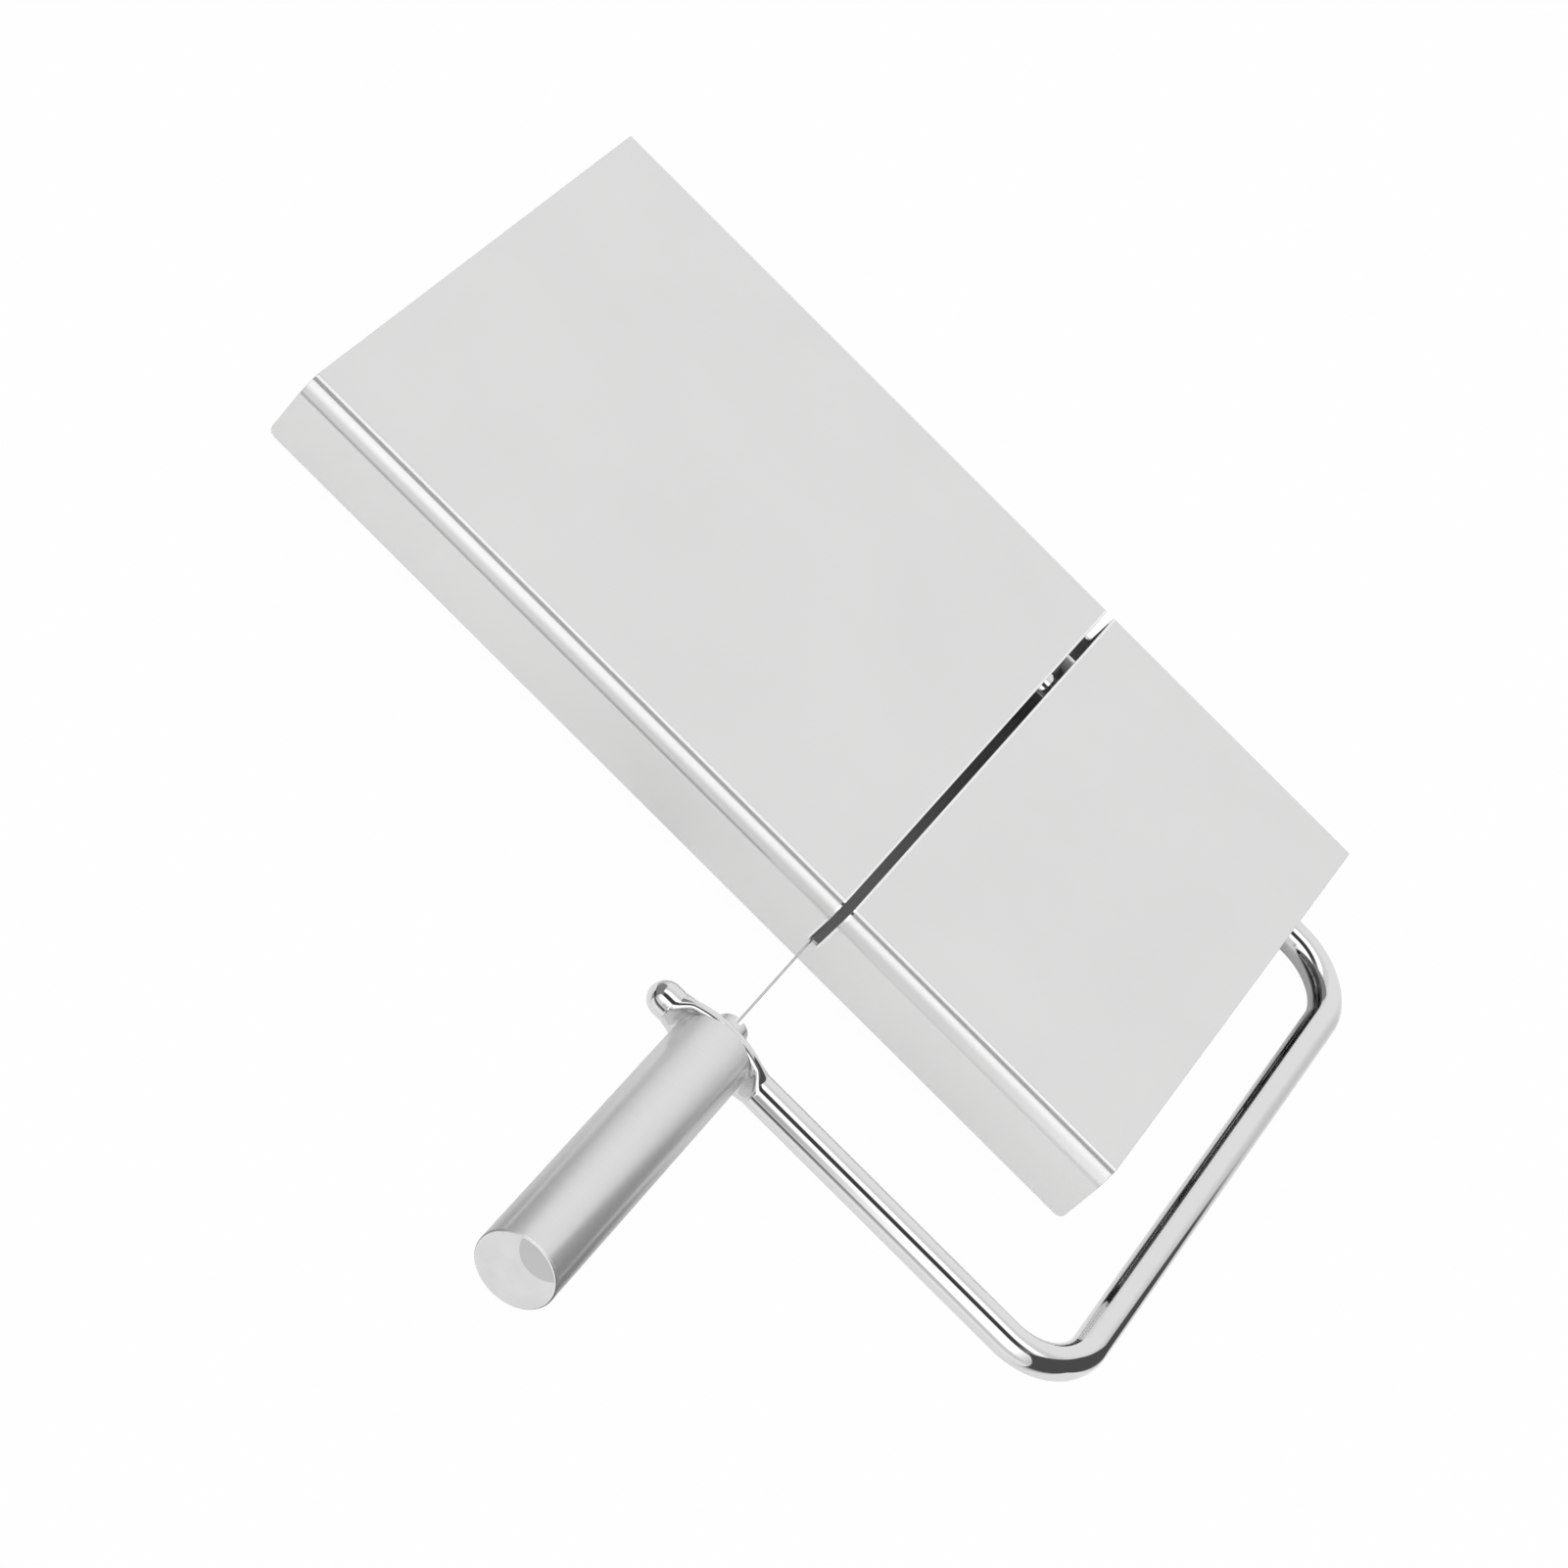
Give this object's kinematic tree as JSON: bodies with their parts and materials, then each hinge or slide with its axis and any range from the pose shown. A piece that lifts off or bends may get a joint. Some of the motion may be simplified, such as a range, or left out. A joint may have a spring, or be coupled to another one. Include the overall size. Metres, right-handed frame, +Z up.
{
  "type": "wire butter slicer",
  "caption": "Folded steel board with a cross slot, and a swinging bent-rod bow that pulls a taut wire down through butter or soft cheese by a tubular screw handle.",
  "frame": {"origin": "middle of the overall footprint, on the surface it stands on", "axes": "+Z up out of the cutting face; +X along the board to the end that the bow comes round; -Y from the board to the handle"},
  "size_m": [0.231, 0.2446, 0.0188],
  "materials": {
    "brushed_board": "fine satin stainless sheet, brushed",
    "plain_steel": "plain mill-finish stainless steel",
    "foot_rubber": "matt black rubber",
    "polished_rod": "mirror-polished stainless rod",
    "spring_steel": "dull spring steel",
    "wire_steel": "drawn stainless wire",
    "turned_steel": "bright turned stainless steel",
    "brushed_handle": "satin stainless tube, brushed round",
    "brushed_cap": "satin stainless disc with a bright broken edge"
  },
  "bodies": {
    "board": {"board_plate": "brushed_board", "hinge_bracket_inner": "plain_steel", "hinge_bracket_outer": "plain_steel", "foot_front_left": "foot_rubber", "foot_front_right": "foot_rubber", "foot_back_left": "foot_rubber", "foot_back_right": "foot_rubber"},
    "bow": {"bow_rod": "polished_rod", "retaining_ring_left": "spring_steel", "retaining_ring_right": "spring_steel", "cutting_wire": "wire_steel", "wire_barrel": "plain_steel", "wire_ball": "plain_steel"},
    "stud": {"tension_stud": "turned_steel"},
    "handle": {"handle_tube": "brushed_handle", "handle_insert": "turned_steel", "handle_end_cap": "brushed_cap"}
  },
  "joints": [
    {"name": "bow_swing", "type": "hinge", "parent": "board", "child": "bow", "pos_m": [0, 0.09888, 0.00835], "axis": [-1, 0, 0], "range_deg": [0, 177]},
    {"name": "handle_turn", "type": "hinge", "parent": "bow", "child": "handle", "pos_m": [0.024, -0.04927, 0.00835], "axis": [0, 1, 0], "range_deg": [-1080, 0]},
    {"name": "stud_slide", "type": "slide", "parent": "bow", "child": "stud", "axis": [0, 1, 0], "range_m": [0, 0.0025]}
  ],
  "couplings": [
    {"joint": "stud_slide", "follows": "handle_turn", "m_per_rad": -0.00012732}
  ]
}
